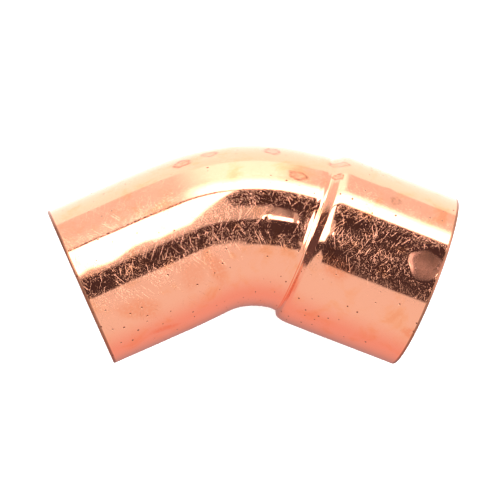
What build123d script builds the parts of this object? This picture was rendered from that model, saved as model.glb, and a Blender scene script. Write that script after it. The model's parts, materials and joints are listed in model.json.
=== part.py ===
from build123d import *
import math
import os

# A wrought copper 45 degree street elbow for soldered or brazed tube, nominal size 1-1/4 in.
# One length of drawn copper tube, bent, with one end left plain (the spigot, which enters the
# socket of another fitting) and the other expanded into a socket (which takes a tube).
#
# Millimetres.  The part lies with its bend plane in XY.
# Origin: centre of the socket's mouth.  +X: along the socket's bore, out of its mouth.
# The bend turns towards -Y, so the spigot points to -X -Y.  Z = 0 is the plane of symmetry.

# ---- driving dimensions -------------------------------------------------------------------
TUBE_OD = 34.92            # plain end, the outside diameter of 1-1/4 in copper water tube
SOCKET_ID = 35.04          # bore of the socket, a capillary gap of 0.06 mm all round the tube
WALL = 1.30                # wall of the fitting
SOCKET_DEPTH = 24.6        # straight bore of the socket, from the mouth to the start of the shoulder
SPIGOT_STRAIGHT = 25.7     # straight length of the plain end
BEND_ANGLE = 45.0
BEND_RADIUS = 31.75        # of the centreline
BEND_END_X = -26.8         # where the centreline becomes straight again, on the socket's axis
CREASE_X = -28.1           # the rolled crease that stops the tube, measured on the socket's axis
CREASE_DROP = 0.34         # how far the crease lies under the tube's outside, and under its bore
SHOULDER_END_X = -24.9     # where the outside of the shoulder reaches the socket's full diameter
RIM_ROUND = 0.30           # deburred outer edge of both mouths
RIM_ROUND_IN = 0.15        # deburred inner edge of both mouths

# ---- derived ------------------------------------------------------------------------------
TUBE_R = TUBE_OD / 2
BORE_R = TUBE_R - WALL
SOCKET_BORE_R = SOCKET_ID / 2
SOCKET_R = SOCKET_BORE_R + WALL
BEND_AXIS = Axis((BEND_END_X, -BEND_RADIUS, 0), (0, 0, 1))
ARC_START = Vector(
    BEND_END_X - BEND_RADIUS * math.sin(math.radians(BEND_ANGLE)),
    -BEND_RADIUS * (1 - math.cos(math.radians(BEND_ANGLE))),
    0,
)
SPIGOT_DIR = Vector(
    -math.cos(math.radians(BEND_ANGLE)),
    -math.sin(math.radians(BEND_ANGLE)),
    0,
)
BORE_OVERRUN = 2.0         # how far the cutting bores run past the two mouths
FAR = 4 * TUBE_OD          # larger than the part, for the trimming block


def bent_rod(radius):
    """Solid rod along the bend, cut square to the socket's axis at the crease."""
    section = Plane.YZ.offset(BEND_END_X) * Circle(radius)
    rod = revolve(section, BEND_AXIS, BEND_ANGLE)
    socket_side = Pos(CREASE_X + FAR / 2, 0, 0) * Box(FAR, FAR, FAR)
    return rod - socket_side


def straight_rod(radius, length):
    """Solid rod along the plain end, from the end of the bend outwards."""
    base = Plane(origin=ARC_START, z_dir=SPIGOT_DIR)
    return extrude(base * Circle(radius), length)


def socket_plug(radius_at_crease, radius, full_from_x, mouth_x):
    """Solid turned about the socket's axis: a smooth shoulder, then the straight socket."""
    crease = (CREASE_X, radius_at_crease)
    full = (full_from_x, radius)
    shoulder = Spline(crease, full, tangents=((1, 0), (1, 0)))
    straight = Line(full, (mouth_x, radius))
    closing = Polyline((mouth_x, radius), (mouth_x, 0), (CREASE_X, 0), crease)
    return revolve(make_face([shoulder, straight, closing]), Axis.X)


def outside():
    """The fitting's outer form, with no bore."""
    return (
        bent_rod(TUBE_R)
        + straight_rod(TUBE_R, SPIGOT_STRAIGHT)
        + socket_plug(TUBE_R - CREASE_DROP, SOCKET_R, SHOULDER_END_X, 0)
    )


def waterway():
    """Everything that is hollow: the plain end's bore, the bend's, and the socket."""
    return (
        bent_rod(BORE_R)
        + straight_rod(BORE_R, SPIGOT_STRAIGHT + BORE_OVERRUN)
        + socket_plug(BORE_R - CREASE_DROP, SOCKET_BORE_R, -SOCKET_DEPTH, BORE_OVERRUN)
    )


def rim_edges(body, radius, centre, axis_dir):
    """The circular edge of one mouth with this radius."""
    return [
        edge
        for edge in body.edges().filter_by(GeomType.CIRCLE)
        if abs(edge.radius - radius) < RIM_ROUND_IN
        and abs((edge.arc_center - centre).dot(axis_dir)) < RIM_ROUND_IN
    ]


def elbow_body():
    """The whole fitting: one piece of copper tube with its waterway and deburred mouths."""
    body = outside() - waterway()
    socket_mouth = Vector(0, 0, 0)
    spigot_mouth = ARC_START + SPIGOT_DIR * SPIGOT_STRAIGHT
    body = fillet(rim_edges(body, SOCKET_R, socket_mouth, Vector(1, 0, 0)), RIM_ROUND)
    body = fillet(rim_edges(body, TUBE_R, spigot_mouth, SPIGOT_DIR), RIM_ROUND)
    body = fillet(rim_edges(body, SOCKET_BORE_R, socket_mouth, Vector(1, 0, 0)), RIM_ROUND_IN)
    body = fillet(rim_edges(body, BORE_R, spigot_mouth, SPIGOT_DIR), RIM_ROUND_IN)
    return body.solid()


PARTS = {
    "elbow_body": elbow_body,
}

os.makedirs("parts", exist_ok=True)
for name, make in PARTS.items():
    export_step(make(), os.path.join("parts", name + ".step"))
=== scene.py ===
import json
import math

import bpy
import numpy as np
from mathutils import Matrix, Vector


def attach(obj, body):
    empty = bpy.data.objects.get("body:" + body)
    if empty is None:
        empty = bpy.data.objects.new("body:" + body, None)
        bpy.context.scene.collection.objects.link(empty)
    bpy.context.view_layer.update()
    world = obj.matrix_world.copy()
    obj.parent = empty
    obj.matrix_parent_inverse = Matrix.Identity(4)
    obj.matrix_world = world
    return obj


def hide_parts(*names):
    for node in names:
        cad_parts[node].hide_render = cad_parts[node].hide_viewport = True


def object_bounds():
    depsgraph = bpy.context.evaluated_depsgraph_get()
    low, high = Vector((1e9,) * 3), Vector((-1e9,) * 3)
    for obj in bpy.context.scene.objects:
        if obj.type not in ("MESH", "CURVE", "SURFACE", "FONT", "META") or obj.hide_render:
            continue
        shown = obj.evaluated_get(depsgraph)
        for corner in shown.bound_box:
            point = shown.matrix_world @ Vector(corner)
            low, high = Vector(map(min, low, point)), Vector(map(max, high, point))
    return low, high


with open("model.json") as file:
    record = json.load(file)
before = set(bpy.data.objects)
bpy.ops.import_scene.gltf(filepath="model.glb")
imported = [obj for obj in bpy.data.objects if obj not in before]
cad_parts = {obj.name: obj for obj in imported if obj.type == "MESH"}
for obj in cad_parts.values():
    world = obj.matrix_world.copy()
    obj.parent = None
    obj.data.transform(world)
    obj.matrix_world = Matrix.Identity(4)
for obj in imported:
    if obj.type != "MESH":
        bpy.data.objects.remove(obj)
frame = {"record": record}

# A copper 45 degree street elbow for soldered tube, lying on its side on a pale floor.
# Metres, in the part's own frame: origin at the centre of the socket's mouth, +X out of it.
cad_low, cad_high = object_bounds()
MM = 0.001

# ---- sizes taken from the part's record ---------------------------------------------------
mounts = {mount["name"]: mount for mount in frame["record"]["mounts"]}
SPIGOT_MOUTH = np.array(mounts["spigot"]["pos_m"]) / MM
SPIGOT_DIR = np.array(mounts["spigot"]["axis"])
TUBE_R = mounts["spigot"]["dims"]["r_mm"]
SOCKET_BORE_R = mounts["socket"]["dims"]["r_mm"]
SOCKET_R = cad_high[2] / MM
BEND_ANGLE = math.acos(-SPIGOT_DIR[0])

# ---- sizes of the elbow, in millimetres ---------------------------------------------------
BEND_RADIUS = 31.75
WALL = SOCKET_R - SOCKET_BORE_R
SOCKET_DEPTH = 24.6
CREASE_FROM_MOUTH = 28.1
SHOULDER_INSIDE = 3.0
# Slope of the shoulder's outside at places in mm past the crease's bottom.
SHOULDER_SLOPES = ((0.0, 0.20), (0.2, 0.80), (1.4, 0.78), (1.8, 0.33), (3.9, 0.0))
SHOULDER_SAMPLES = 200
CREASE_DEPTH = 0.27
CREASE_AHEAD = 0.25         # the crease's bottom on average lies this far past CREASE_S
CREASE_SKEW = 0.5           # and it wanders this far to either side, furthest at CREASE_SKEW_TURN
CREASE_SKEW_TURN = math.radians(60)
CREASE_STEP = 0.65          # length over which the tube steps down to the bottom
FORE_STEP = 0.08            # depth of a shallower step rolled just ahead of it
FORE_START = 2.2            # where that step starts, in step lengths ahead of the bottom
OVAL_IN_PLANE = 0.026       # share of the radius that the bend loses in its own plane
OVAL_OUT_OF_PLANE = 0.012   # share that it gains square to that plane
OVAL_BLEND = 9.0            # length to either side of the bend's start over which the oval grows
OVAL_END = 4.0              # length over which it fades out again before the bend's end
RIM_ROUND = 0.30
RIM_POINTS = 4              # points on each rounded edge of a mouth
RIM_PAINTED_REFLECTION = 0.95            # strength of the painted dark reflection along each mouth's cut edge and just beside it
RIM_PAINTED_REFLECTION_WIDTH = 0.65
RIM_PAINTED_REFLECTION_EASE = 0.15
INSIDE_GAP = 0.06           # the finished skin stays this far inside the design's box

SPIGOT_STRAIGHT = (-SPIGOT_MOUTH[1] - BEND_RADIUS * (1 - math.cos(BEND_ANGLE))) / math.sin(BEND_ANGLE)
ARC_LENGTH = BEND_RADIUS * BEND_ANGLE
BEND_END_X = (SPIGOT_MOUTH[0] + SPIGOT_STRAIGHT * math.cos(BEND_ANGLE)
              + BEND_RADIUS * math.sin(BEND_ANGLE))
LENGTH = SPIGOT_STRAIGHT + ARC_LENGTH - BEND_END_X     # along the centreline, mouth to mouth
CREASE_S = LENGTH - CREASE_FROM_MOUTH
ARC_START_S = SPIGOT_STRAIGHT
ARC_END_S = SPIGOT_STRAIGHT + ARC_LENGTH

EVEN_ROWS = 216             # rows of the outer skin, evenly spaced between the two mouths
FINE_ROWS = 60              # more rows over the crease and the shoulder
FINE_AHEAD = 2.0            # mm that they start ahead of the crease
FINE_PAST = 5.0             # and reach past it
EDGE_ROWS = 5               # more rows beside each mouth, so that its painted dark reflection has a crisp edge
EDGE_STEP = 0.12
ROWS_INSIDE = 56
AROUND = 272                # points round the tube
OUTSIDE, EDGE, BORE = 0.0, 0.5, 1.0     # parts of the skin


def smooth(x):
    """Eases from 0 to 1 as x goes from 0 to 1."""
    x = np.clip(x, 0, 1)
    return x * x * (3 - 2 * x)


# ---- the straight fitting, before it is bent: s runs along it, turn goes round it ----------
def crease_bottom(turn):
    return CREASE_S + CREASE_AHEAD + CREASE_SKEW * np.cos(turn - CREASE_SKEW_TURN)


def crease(past):
    """How far the tube has stepped down, at a place counted from the crease's bottom."""
    step = smooth(1 + past / CREASE_STEP)
    fore = smooth(FORE_START + past / CREASE_STEP)
    return FORE_STEP * fore + (CREASE_DEPTH - FORE_STEP) * step


def shoulder(past):
    """Share of the shoulder's rise that is reached, at a place counted from the crease's bottom."""
    places, slopes = zip(*SHOULDER_SLOPES)
    fine = np.linspace(0, places[-1], SHOULDER_SAMPLES)
    height = np.cumsum(np.interp(fine, places, slopes))
    return np.interp(past, fine, (height - height[0]) / (height[-1] - height[0]))


def outer_radius(s, turn):
    past = s - crease_bottom(turn)
    low = TUBE_R - crease(past)
    return low + (SOCKET_R - low) * shoulder(past)


def inner_radius(s):
    start = LENGTH - SOCKET_DEPTH - SHOULDER_INSIDE
    rise = smooth((s - start) / SHOULDER_INSIDE)
    bore = TUBE_R - WALL - crease(s - CREASE_S)
    return bore + (SOCKET_BORE_R - bore) * rise


def oval(s, turn):
    """The flattening that bending leaves: narrower in the bend's plane, wider across it."""
    fade_in = smooth((s - ARC_START_S + OVAL_BLEND) / (2 * OVAL_BLEND))
    fade_out = 1 - smooth((s - ARC_END_S + OVAL_END) / OVAL_END)
    amount = fade_in * fade_out
    return 1 + amount * (OVAL_OUT_OF_PLANE * np.sin(turn) ** 2 - OVAL_IN_PLANE * np.cos(turn) ** 2)


# Dents: place along the tube in mm and round it in degrees, half length, half width and
# depth in mm, and how far they are turned on the surface in degrees.
DENTS = [
    (28.3, 26.5, 1.1, 1.4, 0.07, 10),
    (32.4, 22.6, 1.0, 1.2, 0.05, 0),
    (41.2, 24.4, 1.0, 1.5, 0.06, 0),
    (45.0, 50.5, 1.4, 1.2, 0.06, 20),
    (51.2, 42.7, 1.1, 0.8, 0.08, 0),
    (62.0, 40.0, 1.6, 1.2, 0.03, 0),
    (12.0, 152.0, 2.4, 1.5, 0.04, 30),
    (66.0, 210.0, 2.2, 1.8, 0.06, 15),
    (30.0, 235.0, 2.6, 1.6, 0.07, -20),
    (15.0, 320.0, 1.8, 1.4, 0.06, 0),
    (58.0, 300.0, 2.0, 1.2, 0.05, 40),
]
# Rubbed flats, with the same numbers and how strongly each is rubbed.
FLATS = [
    (73.7, 82.4, 3.5, 3.1, 0.10, -6, 1.0),
    (43.3, 85.8, 3.3, 2.7, 0.035, 0, 0.35),
    (70.5, 262.0, 3.6, 3.0, 0.10, 8, 1.0),
]
FLAT_EASE = 0.25            # share of a flat's size over which its depth fades out at the edge
FLAT_LIP = 0.007            # height in mm of the burr round a flat
FLAT_LIP_AT = 1.05          # its place and width, as shares of the flat's size
FLAT_LIP_WIDTH = 0.05
RUB_EDGE = 1.06             # a flat's rubbed colour fades out at this share of its size
RUB_EASE = 0.12
SLOW_WOBBLE = 0.07          # how uneven a worn patch's outline is, in three lobes and in five
FAST_WOBBLE = 0.05


def patch(s, turn, mark):
    """Place in a mark as shares of its half length and half width, and the distance from its
    middle, where 1 is its outline."""
    at_s, at_turn, half_s, half_w, _, skew = mark[:6]
    across = (turn - math.radians(at_turn) + math.pi) % (2 * math.pi) - math.pi
    across = across * TUBE_R
    along = s - at_s
    c, d = math.cos(math.radians(skew)), math.sin(math.radians(skew))
    a = (along * c + across * d) / half_s
    b = (across * c - along * d) / half_w
    return a, b, np.hypot(a, b)


def wobble(angle, a, b):
    """Uneven outline for a worn patch; a and b turn its lobes."""
    return 1 + SLOW_WOBBLE * np.sin(3 * angle + a) + FAST_WOBBLE * np.sin(5 * angle + b)


def rubbed(s, turn):
    """How strongly the skin is rubbed: 1 inside the worst flats, 0 outside them all."""
    most = 0 * s
    for number, mark in enumerate(FLATS):
        a, b, away = patch(s, turn, mark)
        away = away * wobble(np.arctan2(b, a), number, 2 * number)
        most = np.maximum(most, mark[6] * smooth((RUB_EDGE - away) / RUB_EASE))
    return most


TARNISH_EDGE = 1.4          # a patch fades out at this share of its size, over this much of it
TARNISH_EASE = 0.9
# Soft patches of tarnish: place, half length and half width, strength, and skew.
TARNISH = [
    (57.1, 104.0, 3.2, 2.2, 0.9, 10),
    (9.3, 120.0, 4.5, 2.4, 0.8, 25),
    (27.5, 116.0, 2.2, 4.0, 0.8, -10),
    (22.0, 112.0, 2.6, 3.4, 0.5, 30),
    (76.3, 128.0, 1.6, 1.2, 1.0, 0),
    (12.5, 147.0, 3.0, 0.9, 1.0, 12),
    (43.4, 55.5, 1.6, 0.7, 0.5, 0),
    (35.0, 250.0, 4.0, 3.0, 0.6, 40),
    (62.0, 200.0, 3.6, 2.2, 0.6, 10),
    (14.0, 225.0, 3.0, 2.6, 0.5, -30),
    (70.0, 330.0, 2.4, 1.6, 0.6, 15),
    (20.0, 345.0, 3.0, 1.8, 0.5, 0),
]
DING_FILL = 0.4             # strength inside a ding
DING_EDGE = 1.25
DING_EASE = 0.3
DING_RING = 0.7             # strength added round its rim
DING_RING_WIDTH = 0.2
# Dings, which have darkened most round their rims, in the same numbers.
DINGS = [
    (45.0, 50.5, 1.3, 1.1, 1.0, 20),
    (51.2, 42.7, 0.9, 0.9, 1.0, 0),
    (28.3, 26.5, 1.1, 1.4, 1.0, 10),
    (32.4, 22.6, 1.0, 1.2, 0.8, 0),
    (41.2, 24.4, 1.0, 1.5, 0.9, 0),
    (51.0, 27.0, 1.6, 1.0, 0.7, 0),
    (64.0, 47.0, 1.0, 0.9, 0.5, 0),
]


def strongest(s, turn, marks, profile):
    """Strength of the strongest mark at each point; profile gives it from the distance."""
    most = 0 * s
    for number, mark in enumerate(marks):
        a, b, away = patch(s, turn, mark)
        away = away * wobble(np.arctan2(b, a), 2 * number, number)
        most = np.maximum(most, mark[4] * profile(away))
    return most


def tarnished(s, turn):
    return strongest(s, turn, TARNISH, lambda away: smooth((TARNISH_EDGE - away) / TARNISH_EASE))


def dinged(s, turn):
    def ringed(away):
        fill = DING_FILL * smooth((DING_EDGE - away) / DING_EASE)
        return fill + DING_RING * np.exp(-((away - 1) / DING_RING_WIDTH) ** 2)
    return strongest(s, turn, DINGS, ringed)


def dents(s, turn):
    """Depth in mm, inwards, of every dent and flat at each point of the outer skin."""
    depth = 0 * s
    for mark in DENTS:
        _, _, away = patch(s, turn, mark)
        depth = depth + mark[4] * (1 - smooth(away))
    for number, mark in enumerate(FLATS):
        a, b, away = patch(s, turn, mark)
        away = away * wobble(np.arctan2(b, a), number, 2 * number)
        flat = mark[4] * np.maximum(1 - b ** 2, 0) * smooth((1 - away) / FLAT_EASE)
        depth = depth + flat - FLAT_LIP * np.exp(-((away - FLAT_LIP_AT) / FLAT_LIP_WIDTH) ** 2)
    return depth


WAVES = 9
WAVE_HEIGHT = 0.002
WAVE_ALONG = (0.12, 0.75)   # least and most radians per mm along the fitting
WAVE_ROUND = (1, 9)         # least whole waves round it, and one more than the most
WAVE_FADE = 4.0             # mm beside a mouth over which the waves fade out


def waviness(s, turn):
    """Slow unevenness of drawn and bent tube, in mm."""
    draw = np.random.default_rng(7)
    total = 0 * s
    for _ in range(WAVES):
        along, round_it = draw.uniform(*WAVE_ALONG), draw.integers(*WAVE_ROUND)
        start = draw.uniform(0, 2 * math.pi)
        total = total + np.sin(along * s + round_it * turn + start)
    return WAVE_HEIGHT * total


def skin_point(s, turn, radius):
    """Point of the straight fitting, lying along X with the outside of the bend towards +Y."""
    reach = radius * oval(s, turn)
    return np.stack([s, reach * np.cos(turn), reach * np.sin(turn)], -1)


def outer_stations():
    """Stations along the outer skin, closer together at the crease, shoulder and mouths."""
    even = np.linspace(RIM_ROUND, LENGTH - RIM_ROUND, EVEN_ROWS)
    fine = np.linspace(CREASE_S - FINE_AHEAD, CREASE_S + FINE_PAST, FINE_ROWS)
    edge = RIM_ROUND + EDGE_STEP * np.arange(EDGE_ROWS)
    return np.unique(np.round(np.concatenate([even, fine, edge, LENGTH - edge]), 4))


def mouth_fade(s):
    """0 at both mouths, where the tube is sized, and 1 between them."""
    return smooth(s / WAVE_FADE) * smooth((LENGTH - s) / WAVE_FADE)


def rim_profile(s_mouth, inwards, r_out, r_in):
    """Points (s, radius) over a mouth's edge, from the outer skin to the bore."""
    turns = np.linspace(0, math.pi / 2, RIM_POINTS + 1)[1:]
    small_round = RIM_ROUND / 2
    outer = []
    inner = []
    for a in turns:
        outer.append((s_mouth + inwards * RIM_ROUND * (1 - math.sin(a)),
                      r_out - RIM_ROUND * (1 - math.cos(a))))
        inner.append((s_mouth + inwards * small_round * (1 - math.cos(a)),
                      r_in + small_round * (1 - math.sin(a))))
    return outer + inner


def skin_rows(turn):
    """Rows of points round the fitting, over one closed skin: outside, socket mouth, bore, plain
    mouth. Each row comes with its place along the fitting and its part of the skin."""
    rows = []
    marks = []
    for s in outer_stations():
        s_row = np.full(AROUND, s)
        sunk = INSIDE_GAP + dents(s_row, turn) + waviness(s_row, turn) * mouth_fade(s)
        rows.append(skin_point(s_row, turn, outer_radius(s_row, turn) - sunk))
        marks.append((s, OUTSIDE))
    for s, r in rim_profile(LENGTH, -1, SOCKET_R - INSIDE_GAP, SOCKET_BORE_R):
        rows.append(skin_point(np.full(AROUND, s), turn, np.full(AROUND, r)))
        marks.append((s, EDGE))
    for s in np.linspace(LENGTH - RIM_ROUND, RIM_ROUND, ROWS_INSIDE):
        s_row = np.full(AROUND, s)
        rows.append(skin_point(s_row, turn, inner_radius(s_row)))
        marks.append((s, BORE))
    for s, r in reversed(rim_profile(0, 1, TUBE_R - INSIDE_GAP, TUBE_R - WALL)):
        rows.append(skin_point(np.full(AROUND, s), turn, np.full(AROUND, r)))
        marks.append((s, EDGE))
    return np.concatenate(rows) * MM, marks


def point_value(mesh, name, values):
    made = mesh.attributes.new(name, "FLOAT", "POINT")
    made.data.foreach_set("value", np.asarray(values, dtype=float))


def surface_map(mesh, marks):
    """UV map in metres, u along the fitting and v round it, so patterns keep their real size."""
    step = 2 * math.pi / AROUND * TUBE_R * MM
    u = np.array([mark[0] * MM for mark in marks])
    after = np.roll(u, -1)
    v = np.arange(AROUND) * step
    coords = np.zeros((len(marks), AROUND, 4, 2))
    for corner, (along, beyond) in enumerate(((u, 0), (u, step), (after, step), (after, 0))):
        coords[:, :, corner, 0] = along[:, None]
        coords[:, :, corner, 1] = v + beyond
    uv = mesh.uv_layers.new(name="surface")
    uv.data.foreach_set("uv", coords.reshape(-1))


def straight_fitting():
    """Mesh of the straight fitting, with its wear and painted rim reflection kept as attributes; its
    seam is underneath.
    """
    turn = -math.pi / 2 + np.arange(AROUND) * 2 * math.pi / AROUND
    points, marks = skin_rows(turn)
    faces = []
    for i in range(len(marks)):
        j = (i + 1) % len(marks)
        for k in range(AROUND):
            m = (k + 1) % AROUND
            faces.append((i * AROUND + k, i * AROUND + m, j * AROUND + m, j * AROUND + k))
    mesh = bpy.data.meshes.new("straight_fitting")
    mesh.from_pydata(points.tolist(), [], faces)
    surface_map(mesh, marks)
    part = np.array([mark[1] for mark in marks])
    to_mouth = np.array([min(mark[0], LENGTH - mark[0]) for mark in marks])
    # The rim attribute is a painted dark reflection: each mouth's edge and a thin band beside it are
    # darkened as if they mirrored the room's dark ends.
    line = RIM_PAINTED_REFLECTION * smooth((RIM_PAINTED_REFLECTION_WIDTH - to_mouth) / RIM_PAINTED_REFLECTION_EASE)
    at_rim = np.where(part == EDGE, 1.0, line)
    point_value(mesh, "inside", np.repeat(part == BORE, AROUND))
    point_value(mesh, "rim", np.repeat(at_rim, AROUND))
    for name, strength in (("tarnish", tarnished), ("ding", dinged), ("rubbed", rubbed)):
        rows = [strength(np.full(AROUND, s), turn) * (where == OUTSIDE) for s, where in marks]
        point_value(mesh, name, np.concatenate(rows))
    mesh.polygons.foreach_set("use_smooth", [True] * len(mesh.polygons))
    mesh.update()
    return mesh


# ---- shader helpers -----------------------------------------------------------------------
def node(tree, kind, ins=(), **settings):
    """Adds a node; ins are values or sockets for its inputs, by name or by number."""
    made = tree.nodes.new(kind)
    for key, value in settings.items():
        setattr(made, key, value)
    for key, value in dict(ins).items():
        socket = made.inputs[key]
        if isinstance(value, bpy.types.NodeSocket):
            tree.links.new(value, socket)
        else:
            socket.default_value = value
    return made


def maths(tree, operation, a, b=0.0, c=0.0):
    return node(tree, "ShaderNodeMath", {0: a, 1: b, 2: c}, operation=operation).outputs[0]


def ease(tree, value, low, high, to_low=0.0, to_high=1.0):
    """Smooth change from to_low to to_high as value goes from low to high."""
    made = node(tree, "ShaderNodeMapRange", interpolation_type="SMOOTHSTEP")
    tree.links.new(value, made.inputs["Value"])
    made.inputs["From Min"].default_value = low
    made.inputs["From Max"].default_value = high
    made.inputs["To Min"].default_value = to_low
    made.inputs["To Max"].default_value = to_high
    return made.outputs["Result"]


def mix_value(tree, factor, a, b):
    made = node(tree, "ShaderNodeMix", {0: factor, 2: a, 3: b}, data_type="FLOAT")
    return made.outputs[0]


def mix_colour(tree, factor, a, b):
    return node(tree, "ShaderNodeMix", {0: factor, 6: a, 7: b}, data_type="RGBA").outputs[2]


def new_group(name, inputs, outputs, kind="ShaderNodeTree"):
    """A node group with named inputs (type, default) and outputs (type)."""
    tree = bpy.data.node_groups.new(name, kind)
    for label, (socket_type, value) in inputs.items():
        socket = tree.interface.new_socket(label, in_out="INPUT", socket_type=socket_type)
        if value is not None:
            socket.default_value = value
    for label, socket_type in outputs.items():
        tree.interface.new_socket(label, in_out="OUTPUT", socket_type=socket_type)
    start = tree.nodes.new("NodeGroupInput")
    end = tree.nodes.new("NodeGroupOutput")
    return tree, start.outputs, end.inputs


# ---- bending ------------------------------------------------------------------------------
def bend_group(paint):
    """Geometry Nodes: bends a straight fitting lying along X onto the elbow's centreline."""
    sizes = ("Bend start", "Bend radius", "Bend angle", "Bend end X")
    inputs = {"Straight fitting": ("NodeSocketGeometry", None)}
    inputs.update({label: ("NodeSocketFloat", 0.0) for label in sizes})
    tree, start, end = new_group("bend_on_centreline", inputs, {"Elbow": "NodeSocketGeometry"},
                                 "GeometryNodeTree")
    first, radius, angle, end_x = [start[label] for label in sizes]
    place = tree.nodes.new("GeometryNodeInputPosition").outputs[0]
    along, out, up = node(tree, "ShaderNodeSeparateXYZ", {0: place}).outputs
    past = maths(tree, "SUBTRACT", along, first)
    arc = maths(tree, "MULTIPLY", radius, angle)
    in_arc = maths(tree, "MINIMUM", maths(tree, "MAXIMUM", past, 0.0), arc)
    straight = maths(tree, "SUBTRACT", past, in_arc)        # length before or after the arc
    left = maths(tree, "DIVIDE", maths(tree, "SUBTRACT", arc, in_arc), radius)
    sine = maths(tree, "SINE", left)
    cosine = maths(tree, "COSINE", left)
    # the bend's own centre lies a radius to the side of its end, so a point sits at radius + out
    reach = maths(tree, "ADD", radius, out)
    across = maths(tree, "SUBTRACT", maths(tree, "MULTIPLY", straight, cosine),
                   maths(tree, "MULTIPLY", reach, sine))
    ahead = maths(tree, "ADD", maths(tree, "MULTIPLY", straight, sine),
                  maths(tree, "MULTIPLY", reach, cosine))
    x = maths(tree, "ADD", end_x, across)
    y = maths(tree, "SUBTRACT", ahead, radius)
    point = node(tree, "ShaderNodeCombineXYZ", {0: x, 1: y, 2: up}).outputs[0]
    bent = node(tree, "GeometryNodeSetPosition", {"Geometry": start["Straight fitting"],
                                                  "Position": point}).outputs[0]
    real = node(tree, "GeometryNodeRealizeInstances", {"Geometry": bent}).outputs[0]
    painted = node(tree, "GeometryNodeSetMaterial", {"Geometry": real, "Material": paint}).outputs[0]
    tree.links.new(painted, end["Elbow"])
    return tree


def bend_fitting(straight, paint):
    """The finished elbow, as a plain mesh."""
    elbow = bpy.data.objects.new("elbow_skin", straight)
    bpy.context.scene.collection.objects.link(elbow)
    modifier = elbow.modifiers.new("bend", "NODES")
    modifier.node_group = bend_group(paint)
    sizes = {"Bend start": ARC_START_S * MM, "Bend radius": BEND_RADIUS * MM,
             "Bend angle": BEND_ANGLE, "Bend end X": BEND_END_X * MM}
    for socket in modifier.node_group.interface.items_tree:
        if socket.name in sizes:
            modifier[socket.identifier] = sizes[socket.name]
    graph = bpy.context.evaluated_depsgraph_get()
    made = bpy.data.meshes.new_from_object(elbow.evaluated_get(graph), depsgraph=graph,
                                           preserve_all_data_layers=True)
    elbow.modifiers.clear()
    elbow.data = made
    made.name = "elbow_skin"
    bpy.data.meshes.remove(straight)
    return elbow


# ---- studio -------------------------------------------------------------------------------
# The room is drawn by direction, in degrees: the polar angle is counted from straight up, and the
# azimuth from the studio's right, or from its left or its near side where a zone says so. A zone
# has four edges in each: it eases in between the first two, and out between the last two.
STUDIO_TURN = math.radians(-22.5)   # turns the part's axes to the studio's: x right, y up
FAR_EASE = 0.03                     # how softly the near side meets the far side
WALL_LEVEL = 1.08
MIDDLE_LEVEL = 2.3                  # middle of the far wall
MIDDLE = (66, 80, 96, 112)
UPPER_LEVELS = (1.7, 1.22)          # its upper part, right and left of UPPER_SPLIT
UPPER_SPLIT = (98, 110)
UPPER_EDGE = (80, 66)
FOOT_LEVEL = 1.75                   # its glowing foot
FOOT_EDGE = (105, 108)
NEAR_LEVELS = (1.0, 0.5)            # near wall, from its top down
NEAR_EDGE = (118, 172)
END_LEVEL = 0.14                    # the two ends of the room, which the mouths face
LEFT_END = ((50, 55, 110, 120), (-56, -46, 0, 5))       # azimuth from the left
RIGHT_END = ((58, 66, 110, 120), (-48, -38, -4, 8))
DARK_LEVEL = 0.072                  # ceiling between the panels
DARK_NEAR_EDGE = (20.5, 17.5)
DARK_BULGE = (66, 78, 102, 112)     # azimuth from the near side
DARK_BULGE_DEPTH = 9.5
DARK_FAR_EDGE = (56.5, 53.5)
DARK_BESIDE = ((-2, -1, 54, 57), (-30, -20, 10, 22))    # azimuth from the left
PANEL_LEVEL = 5.5                   # soft panels
BEYOND_PANEL = ((54, 57, 62, 77), (15, 25, 97, 111))
RIGHT_PANEL = ((16, 24, 50, 60), (-46, -36, 24, 33))
LEFT_PANEL_START = (13, 20)
LEFT_PANEL_END = (54, 52.5)
LEFT_PANEL_SIDES = (88, 92, 153, 163)
LEFT_CUT = 111.5        # right of this azimuth the left panel is cut back on the slant
LEFT_SLANT = 1.8        # by this much polar angle per degree of azimuth
GAP_LEVEL = 0.1                     # dark line between the left panel and the one beyond
GAP = ((53.3, 54.5, 55.9, 57), (91, 99, 130, 140))
LAMP_LEVEL = 8.0
LAMP = ((10.8, 11.6, 14, 15.5), (49, 52, 60, 65))
GLOW_LEVEL = 0.75                   # faint light on the ceiling between the panels
GLOW_START = (9, 12)
GLOW_TOP = (32, 25)
GLOW_LIMIT = (54, 50)
GLOW_SIDES = (58, 64, 112, 118)
GLOW_SLANT = 1.1        # degrees of azimuth its sides lean left per degree of polar angle
GLOW_SLANT_FROM = 17.0
GLOW_RISE = 4.0         # degrees of polar angle its top reaches further per degree of azimuth
GLOW_RISE_FROM = 90.0
WARM_EDGE = (68, 120)               # the near side's light is warm low down
WARM_TINT = (0.97, 0.60, 0.57, 1)
DARK_TINT = (1, 0.72, 0.80, 1)
DARK_TINT_LEVELS = (0.5, 0.1)
WHITE = (1, 1, 1, 1)


def between(tree, value, edges):
    """1 between the middle two of four edges, easing to 0 at the outer two."""
    rise = ease(tree, value, edges[0], edges[1])
    fall = ease(tree, value, edges[3], edges[2])
    return maths(tree, "MULTIPLY", rise, fall)


def zone(tree, polar, azimuth, edges):
    return maths(tree, "MULTIPLY", between(tree, polar, edges[0]), between(tree, azimuth, edges[1]))


def above(tree, value, limit):
    """How far the value is past the limit, and 0 before it."""
    return maths(tree, "MAXIMUM", maths(tree, "SUBTRACT", value, limit), 0.0)


def below(tree, value, limit):
    return maths(tree, "MAXIMUM", maths(tree, "SUBTRACT", limit, value), 0.0)


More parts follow.
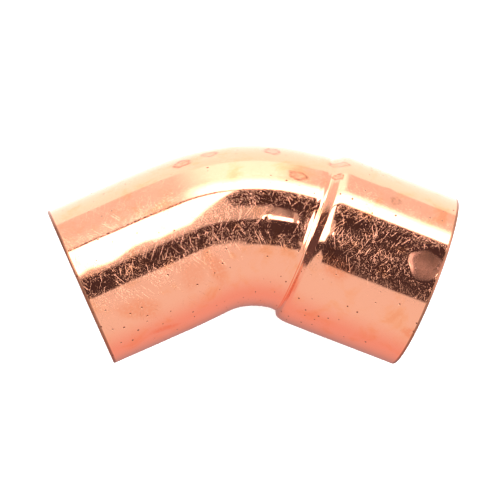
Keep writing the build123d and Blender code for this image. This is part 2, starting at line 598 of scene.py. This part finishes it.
def studio_angles(tree):
    """Angles of a direction, by name, and how far it is on the far side (0 or 1)."""
    coords = node(tree, "ShaderNodeTexCoord").outputs["Generated"]
    turned = node(tree, "ShaderNodeVectorRotate", {"Vector": coords, "Angle": STUDIO_TURN},
                  rotation_type="Z_AXIS").outputs[0]
    x, y, z = node(tree, "ShaderNodeSeparateXYZ", {0: turned}).outputs
    back_x = maths(tree, "MULTIPLY", x, -1.0)
    back_y = maths(tree, "MULTIPLY", y, -1.0)
    azimuth = maths(tree, "DEGREES", maths(tree, "ARCTAN2", y, x))
    return {
        "polar": maths(tree, "DEGREES", maths(tree, "ARCCOSINE", z)),
        "azimuth": azimuth,
        "from near": maths(tree, "ADD", azimuth, 180),
        "from left": maths(tree, "DEGREES", maths(tree, "ARCTAN2", back_y, back_x)),
        "far": ease(tree, y, -FAR_EASE, FAR_EASE),
    }


def walls(tree, at):
    """Pale walls, with a glowing middle and foot on the far side and two dark ends."""
    middle = between(tree, at["azimuth"], MIDDLE)
    far_wall = mix_value(tree, middle, WALL_LEVEL, MIDDLE_LEVEL)
    upper = ease(tree, at["azimuth"], *UPPER_SPLIT, *UPPER_LEVELS)
    far_wall = mix_value(tree, ease(tree, at["polar"], *UPPER_EDGE), far_wall, upper)
    far_wall = mix_value(tree, ease(tree, at["polar"], *FOOT_EDGE), far_wall, FOOT_LEVEL)
    near_wall = ease(tree, at["polar"], *NEAR_EDGE, *NEAR_LEVELS)
    room = mix_value(tree, at["far"], near_wall, far_wall)
    left_end = zone(tree, at["polar"], at["from left"], LEFT_END)
    right_end = zone(tree, at["polar"], at["azimuth"], RIGHT_END)
    return mix_value(tree, maths(tree, "MAXIMUM", left_end, right_end), room, END_LEVEL)


def ceiling(tree, at, room):
    """Dark ceiling, which reaches further out beyond than on the near side."""
    bulge = between(tree, at["from near"], DARK_BULGE)
    bulge = maths(tree, "MULTIPLY", bulge, DARK_BULGE_DEPTH)
    near_dark = ease(tree, maths(tree, "SUBTRACT", at["polar"], bulge), *DARK_NEAR_EDGE)
    far_dark = ease(tree, at["polar"], *DARK_FAR_EDGE)
    dark = mix_value(tree, at["far"], near_dark, far_dark)
    beside = zone(tree, at["polar"], at["from left"], DARK_BESIDE)
    return mix_value(tree, maths(tree, "MAXIMUM", dark, beside), room, DARK_LEVEL)


def ceiling_glow(tree, at, room):
    polar = at["polar"]
    lean = maths(tree, "MULTIPLY", above(tree, polar, GLOW_SLANT_FROM), GLOW_SLANT)
    rise = maths(tree, "MULTIPLY", above(tree, at["azimuth"], GLOW_RISE_FROM), GLOW_RISE)
    top = ease(tree, maths(tree, "SUBTRACT", polar, rise), *GLOW_TOP)
    glow = maths(tree, "MULTIPLY", ease(tree, polar, *GLOW_START), top)
    sides = between(tree, maths(tree, "SUBTRACT", at["azimuth"], lean), GLOW_SIDES)
    glow = maths(tree, "MULTIPLY", glow, sides)
    glow = maths(tree, "MULTIPLY", glow, ease(tree, polar, *GLOW_LIMIT))
    return mix_value(tree, glow, room, GLOW_LEVEL)


def left_panel(tree, at, room):
    cut = maths(tree, "MULTIPLY", below(tree, at["azimuth"], LEFT_CUT), LEFT_SLANT)
    start = ease(tree, maths(tree, "SUBTRACT", at["polar"], cut), *LEFT_PANEL_START)
    lit = maths(tree, "MULTIPLY", start, ease(tree, at["polar"], *LEFT_PANEL_END))
    lit = maths(tree, "MULTIPLY", lit, between(tree, at["azimuth"], LEFT_PANEL_SIDES))
    return mix_value(tree, lit, room, PANEL_LEVEL)


def room_tint(tree, at, room):
    near = maths(tree, "SUBTRACT", 1.0, at["far"])
    warmth = maths(tree, "MULTIPLY", ease(tree, at["polar"], *WARM_EDGE), near)
    tint = mix_colour(tree, warmth, WHITE, WARM_TINT)
    return mix_colour(tree, ease(tree, room, *DARK_TINT_LEVELS), tint, DARK_TINT)


def studio_world():
    """A pale room with a dark strip of ceiling overhead, and soft panels beside and beyond it."""
    world = bpy.data.worlds.new("studio")
    bpy.context.scene.world = world
    world.use_nodes = True
    tree = world.node_tree
    tree.nodes.clear()
    at = studio_angles(tree)

    def lit(room, edges, level):
        return mix_value(tree, zone(tree, at["polar"], at["azimuth"], edges), room, level)

    room = ceiling(tree, at, walls(tree, at))
    room = lit(room, BEYOND_PANEL, PANEL_LEVEL)
    room = ceiling_glow(tree, at, room)
    room = lit(room, LAMP, LAMP_LEVEL)
    room = left_panel(tree, at, room)
    room = lit(room, GAP, GAP_LEVEL)
    room = lit(room, RIGHT_PANEL, PANEL_LEVEL)
    # the camera itself sees plain white behind the elbow
    sight = node(tree, "ShaderNodeLightPath").outputs["Is Camera Ray"]
    level = mix_value(tree, sight, room, 1.0)
    colour = mix_colour(tree, sight, room_tint(tree, at, room), WHITE)
    sky = node(tree, "ShaderNodeBackground", {"Color": colour, "Strength": level})
    node(tree, "ShaderNodeOutputWorld", {"Surface": sky.outputs[0]})


FILL_SIZE = 1.2
FILL_HEIGHT = 0.9
FILL_WATTS = 9.0


def floor_fill():
    """Overhead soft light that whitens the floor; the metal doesn't mirror it."""
    lamp = bpy.data.lights.new("floor_fill", "AREA")
    lamp.shape = "SQUARE"
    lamp.size = FILL_SIZE
    lamp.energy = FILL_WATTS
    fill = bpy.data.objects.new("floor_fill", lamp)
    middle = [0.5 * (low + high) for low, high in zip(cad_low, cad_high)]
    fill.location = (middle[0], middle[1], FILL_HEIGHT)
    fill.visible_glossy = False
    fill.visible_camera = False
    bpy.context.scene.collection.objects.link(fill)


FLOOR_HALF = 6.0
FLOOR_GREY = (0.86, 0.86, 0.86, 1)
FLOOR_GLOW = 0.3            # keeps the shadow under the elbow faint, as on a lit table


def studio_floor():
    """Matt pale floor under the elbow; the metal doesn't mirror it."""
    low = cad_low[2]
    mesh = bpy.data.meshes.new("floor")
    ring = [(-FLOOR_HALF, -FLOOR_HALF, low), (FLOOR_HALF, -FLOOR_HALF, low),
            (FLOOR_HALF, FLOOR_HALF, low), (-FLOOR_HALF, FLOOR_HALF, low)]
    mesh.from_pydata(ring, [], [(0, 1, 2, 3)])
    floor = bpy.data.objects.new("floor", mesh)
    bpy.context.scene.collection.objects.link(floor)
    paint = bpy.data.materials.new("pale_floor")
    paint.use_nodes = True
    shader = paint.node_tree.nodes["Principled BSDF"]
    shader.inputs["Base Color"].default_value = FLOOR_GREY
    shader.inputs["Roughness"].default_value = 0.9
    shader.inputs["Specular IOR Level"].default_value = 0.0
    shader.inputs["Emission Color"].default_value = WHITE
    shader.inputs["Emission Strength"].default_value = FLOOR_GLOW
    mesh.materials.append(paint)
    floor.visible_glossy = False


# ---- camera: almost square on to the bend's plane -----------------------------------------
CAMERA_YAW = math.radians(4.22)
CAMERA_PITCH = math.radians(0.18)
CAMERA_ROLL = math.radians(1.26)
# The middle of the bend in the camera's own axes, in metres.
CAMERA_OFFSET = Vector((-0.00004, 0.005177, -0.5634))
SENSOR_MM = 36
LENS_MM = 5.35 * SENSOR_MM
NEAR_CLIP = 0.05


def studio_camera():
    """Places the camera by the bend: its middle is the origin, and X runs along it there."""
    half = BEND_ANGLE / 2
    mouth_x = BEND_RADIUS * math.sin(half) - BEND_END_X * math.cos(half)
    mouth_y = BEND_RADIUS * (math.cos(half) - 1) + BEND_END_X * math.sin(half)
    mouth = Vector((mouth_x, mouth_y, 0)) * MM
    bend_frame = Matrix.Translation(mouth) @ Matrix.Rotation(-half, 4, "Z")
    turn = (Matrix.Rotation(CAMERA_PITCH, 4, "X") @ Matrix.Rotation(CAMERA_YAW, 4, "Y")
            @ Matrix.Rotation(CAMERA_ROLL, 4, "Z"))
    view = Matrix.Translation(CAMERA_OFFSET) @ turn @ bend_frame
    lens = bpy.data.cameras.new("camera")
    lens.lens = LENS_MM
    lens.sensor_width = SENSOR_MM
    lens.clip_start = NEAR_CLIP
    camera = bpy.data.objects.new("camera", lens)
    camera.matrix_world = view.inverted()
    bpy.context.scene.collection.objects.link(camera)
    bpy.context.scene.camera = camera


# ---- copper -------------------------------------------------------------------------------
COPPER = (0.94, 0.415, 0.262, 1)
COPPER_RED = (0.86, 0.27, 0.15, 1)
COPPER_ORANGE = (0.93, 0.33, 0.13, 1)
TARNISH_RED = (0.90, 0.30, 0.155, 1)
DING_BROWN = (0.34, 0.11, 0.055, 1)
# brown of the real oxide in the pits, and of the painted dark reflection at the mouths' edges
PIT_OXIDE_AND_RIM_REFLECTION_BROWN = (0.16, 0.055, 0.03, 1)
RUBBED_BROWN = (0.30, 0.112, 0.075, 1)


# Marks of tumbling. Scales are per mm, across and along a stroke; a stroke shows where its noise
# rises from the first level to the second.
STROKE_TURNS = (8, 37, 68, 101, 133, 161)
STROKE_SCALES = (1.7, 12.0)
STROKE_LEVELS = (0.775, 0.82)
LONG_TURNS = (52, 118, 74)
LONG_SCALES = (0.2, 9.0)
LONG_LEVELS = (0.77, 0.80)
LONG_WEIGHT = 1.5
SPECK_SCALE = 8.0
SPECK_LEVELS = (0.70, 0.78)
WANDER_SCALE = 0.9          # strokes are bent by slow noise
WANDER_MM = 0.25
CROWDING_SCALE = 0.22       # and crowd together in places
CROWDING = (0.35, 0.62, 0.45, 1.0)
GRAIN_SCALE = 5.5
STROKE_DEPTH = 0.0042       # in mm
RUBBED_STROKE_DEPTH = 0.0012
GRAIN_DEPTH = 0.0008
PIT_DEPTH = 0.05
PITS = {"Per mm": 0.42, "Radius": 0.085, "Share": 0.3}
WARM_BLOTCHES = {"Per mm": 0.16, "Low": 0.48, "High": 0.74}
RUDDY_BLOTCHES = {"Per mm": 0.16, "Low": 0.60, "High": 0.82}
RAGGED_SCALE = 1.6          # tarnish and dings are broken up by noise
RAGGED = (0.25, 0.6, 0.3, 1.0)
BRIGHT_SCALE = 0.35         # roughness drifts slowly over the polish
BRIGHT = (0.3, 0.75, 0.045, 0.085)


def noise(tree, vector, scale, detail=2.0, roughness=0.5, distortion=0.0):
    return node(tree, "ShaderNodeTexNoise",
                {"Vector": vector, "Scale": scale, "Detail": detail, "Roughness": roughness,
                 "Distortion": distortion}).outputs["Fac"]


def strokes(tree, surface, turn, scales, shift, levels):
    """Fine strokes in one direction: noise drawn out along the stroke."""
    placed = node(tree, "ShaderNodeMapping",
                  {"Vector": surface, "Location": shift,
                   "Rotation": (0, 0, math.radians(turn))}).outputs[0]
    drawn = node(tree, "ShaderNodeMapping", {"Vector": placed, "Scale": (*scales, 1)}).outputs[0]
    return ease(tree, noise(tree, drawn, 1.0, 0.0), *levels)


def wandering(tree, surface):
    """The surface's place in mm, shifted by slow noise."""
    wander = node(tree, "ShaderNodeTexNoise",
                  {"Vector": surface, "Scale": WANDER_SCALE, "Detail": 1.0}).outputs["Color"]
    off = node(tree, "ShaderNodeVectorMath", {0: wander, 1: (0.5, 0.5, 0.5)},
               operation="SUBTRACT").outputs[0]
    off = node(tree, "ShaderNodeVectorMath", {0: off, "Scale": WANDER_MM},
               operation="SCALE").outputs[0]
    return node(tree, "ShaderNodeVectorMath", {0: surface, 1: off}, operation="ADD").outputs[0]


def tumble_group():
    """Marks of tumbling: short strokes every way, fine grain, and a few long scratches."""
    tree, start, end = new_group(
        "tumble_marks",
        {"Surface mm": ("NodeSocketVector", None), "Stroke depth mm": ("NodeSocketFloat", 0.01),
         "Grain depth mm": ("NodeSocketFloat", 0.003)},
        {"Height mm": "NodeSocketFloat"})
    surface = start["Surface mm"]
    bent = wandering(tree, surface)
    total = 0.0
    # each direction reads its own part of the noise
    for number, turn in enumerate(STROKE_TURNS):
        shift = (3.7 * number, 1.9 * number, 5.1 * number)
        marks = strokes(tree, bent, turn, STROKE_SCALES, shift, STROKE_LEVELS)
        total = maths(tree, "ADD", total, marks)
    for number, turn in enumerate(LONG_TURNS):
        shift = (11.3 * number + 5.0, 7.7 * number, 2.0)
        long_marks = strokes(tree, bent, turn, LONG_SCALES, shift, LONG_LEVELS)
        total = maths(tree, "ADD", total, maths(tree, "MULTIPLY", long_marks, LONG_WEIGHT))
    specks = ease(tree, noise(tree, surface, SPECK_SCALE, 0.0), *SPECK_LEVELS)
    total = maths(tree, "ADD", total, specks)
    crowding = ease(tree, noise(tree, surface, CROWDING_SCALE, 2.0), *CROWDING)
    marks = maths(tree, "MULTIPLY", total, crowding)
    grain = noise(tree, surface, GRAIN_SCALE, 2.0, 0.6)
    cut = maths(tree, "MULTIPLY", marks, start["Stroke depth mm"])
    grain = maths(tree, "MULTIPLY", grain, start["Grain depth mm"])
    tree.links.new(maths(tree, "SUBTRACT", grain, cut), end["Height mm"])
    return tree


def pit_group():
    """Small dark pits scattered over the surface, each of its own size."""
    tree, start, end = new_group(
        "pits",
        {"Surface mm": ("NodeSocketVector", None), "Per mm": ("NodeSocketFloat", 0.3),
         "Radius": ("NodeSocketFloat", 0.08), "Share": ("NodeSocketFloat", 0.5)},
        {"Mask": "NodeSocketFloat"})
    cells = node(tree, "ShaderNodeTexVoronoi",
                 {"Vector": start["Surface mm"], "Scale": start["Per mm"], "Randomness": 1.0},
                 voronoi_dimensions="2D")
    chance, size, _ = node(tree, "ShaderNodeSeparateColor", {0: cells.outputs["Color"]}).outputs
    radius = maths(tree, "MULTIPLY", start["Radius"], maths(tree, "ADD", size, 0.35))
    inside = maths(tree, "SUBTRACT", radius, cells.outputs["Distance"])
    mask = ease(tree, maths(tree, "DIVIDE", inside, radius), 0.0, 0.5)
    kept = maths(tree, "LESS_THAN", chance, start["Share"])
    tree.links.new(maths(tree, "MULTIPLY", mask, kept), end["Mask"])
    return tree


def blotch_group():
    """Soft-edged patches of handling oxide."""
    tree, start, end = new_group(
        "oxide_blotches",
        {"Surface mm": ("NodeSocketVector", None), "Per mm": ("NodeSocketFloat", 0.1),
         "Low": ("NodeSocketFloat", 0.5), "High": ("NodeSocketFloat", 0.7)},
        {"Mask": "NodeSocketFloat"})
    cloud = noise(tree, start["Surface mm"], start["Per mm"], 4.0, 0.6, 0.4)
    made = node(tree, "ShaderNodeMapRange",
                {"Value": cloud, "From Min": start["Low"], "From Max": start["High"]},
                interpolation_type="SMOOTHSTEP")
    tree.links.new(made.outputs["Result"], end["Mask"])
    return tree


def group_node(tree, group, surface, ins):
    """Places a group that reads the surface's place in mm, with its other values."""
    made = node(tree, "ShaderNodeGroup", node_tree=group)
    tree.links.new(surface, made.inputs["Surface mm"])
    for key, value in ins.items():
        if isinstance(value, bpy.types.NodeSocket):
            tree.links.new(value, made.inputs[key])
        else:
            made.inputs[key].default_value = value
    return made.outputs[0]


def mesh_strength(tree, name):
    """Strength of one kind of wear, or of the painted rim reflection, as the mesh keeps it."""
    return node(tree, "ShaderNodeAttribute", attribute_name=name).outputs["Fac"]


def copper_colour(tree, surface, pits):
    """Clean copper, then each kind of oxide and wear, and the painted dark reflection at the mouths'
    edges, laid over it in turn.
    """
    blotches = blotch_group()
    ragged = ease(tree, noise(tree, surface, RAGGED_SCALE, 3.0), *RAGGED)
    tarnish = maths(tree, "MULTIPLY", mesh_strength(tree, "tarnish"), ragged)
    ding = maths(tree, "MULTIPLY", mesh_strength(tree, "ding"), ragged)
    layers = (
        (group_node(tree, blotches, surface, WARM_BLOTCHES), 0.6, COPPER_ORANGE),
        (group_node(tree, blotches, surface, RUDDY_BLOTCHES), 0.5, COPPER_RED),
        (tarnish, 0.95, TARNISH_RED),
        (ding, 0.9, DING_BROWN),
        (pits, 0.9, PIT_OXIDE_AND_RIM_REFLECTION_BROWN),
        (mesh_strength(tree, "inside"), 0.3, COPPER_RED),
        # painted reflection: the mouths' edges darkened brown as if they mirrored the room's dark
        # ends
        (mesh_strength(tree, "rim"), 0.8, PIT_OXIDE_AND_RIM_REFLECTION_BROWN),
        (ease(tree, mesh_strength(tree, "rubbed"), 0.4, 1.0), 0.85, RUBBED_BROWN),
    )
    colour = COPPER
    for mask, strength, over in layers:
        colour = mix_colour(tree, maths(tree, "MULTIPLY", mask, strength), colour, over)
    return colour


def copper_roughness(tree, surface, pits):
    rough = ease(tree, noise(tree, surface, BRIGHT_SCALE, 3.0), *BRIGHT)
    dulled = ((pits, 0.4), (mesh_strength(tree, "inside"), 0.22), (mesh_strength(tree, "rim"), 0.3),
              (ease(tree, mesh_strength(tree, "rubbed"), 0.3, 1.0), 0.18))
    for mask, added in dulled:
        rough = maths(tree, "ADD", rough, maths(tree, "MULTIPLY", mask, added))
    return rough


def copper():
    """Bright drawn copper, tumbled, handled and a little tarnished."""
    paint = bpy.data.materials.new("drawn_copper")
    paint.use_nodes = True
    tree = paint.node_tree
    shader = tree.nodes["Principled BSDF"]
    uv = node(tree, "ShaderNodeUVMap", uv_map="surface").outputs[0]
    surface = node(tree, "ShaderNodeVectorMath", {0: uv, "Scale": 1 / MM},
                   operation="SCALE").outputs[0]
    pits = group_node(tree, pit_group(), surface, PITS)
    stroke = ease(tree, mesh_strength(tree, "rubbed"), 0.0, 0.3, STROKE_DEPTH, RUBBED_STROKE_DEPTH)
    scratches = group_node(tree, tumble_group(), surface,
                           {"Stroke depth mm": stroke, "Grain depth mm": GRAIN_DEPTH})
    tree.links.new(copper_colour(tree, surface, pits), shader.inputs["Base Color"])
    tree.links.new(copper_roughness(tree, surface, pits), shader.inputs["Roughness"])
    shader.inputs["Metallic"].default_value = 1.0
    height = maths(tree, "SUBTRACT", scratches, maths(tree, "MULTIPLY", pits, PIT_DEPTH))
    bump = node(tree, "ShaderNodeBump", {"Height": height, "Strength": 1.0, "Distance": MM})
    tree.links.new(bump.outputs["Normal"], shader.inputs["Normal"])
    return paint


elbow = bend_fitting(straight_fitting(), copper())
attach(elbow, "root")
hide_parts("elbow_body")
studio_world()
studio_floor()
floor_fill()
studio_camera()
bpy.context.scene.view_settings.view_transform = "Standard"
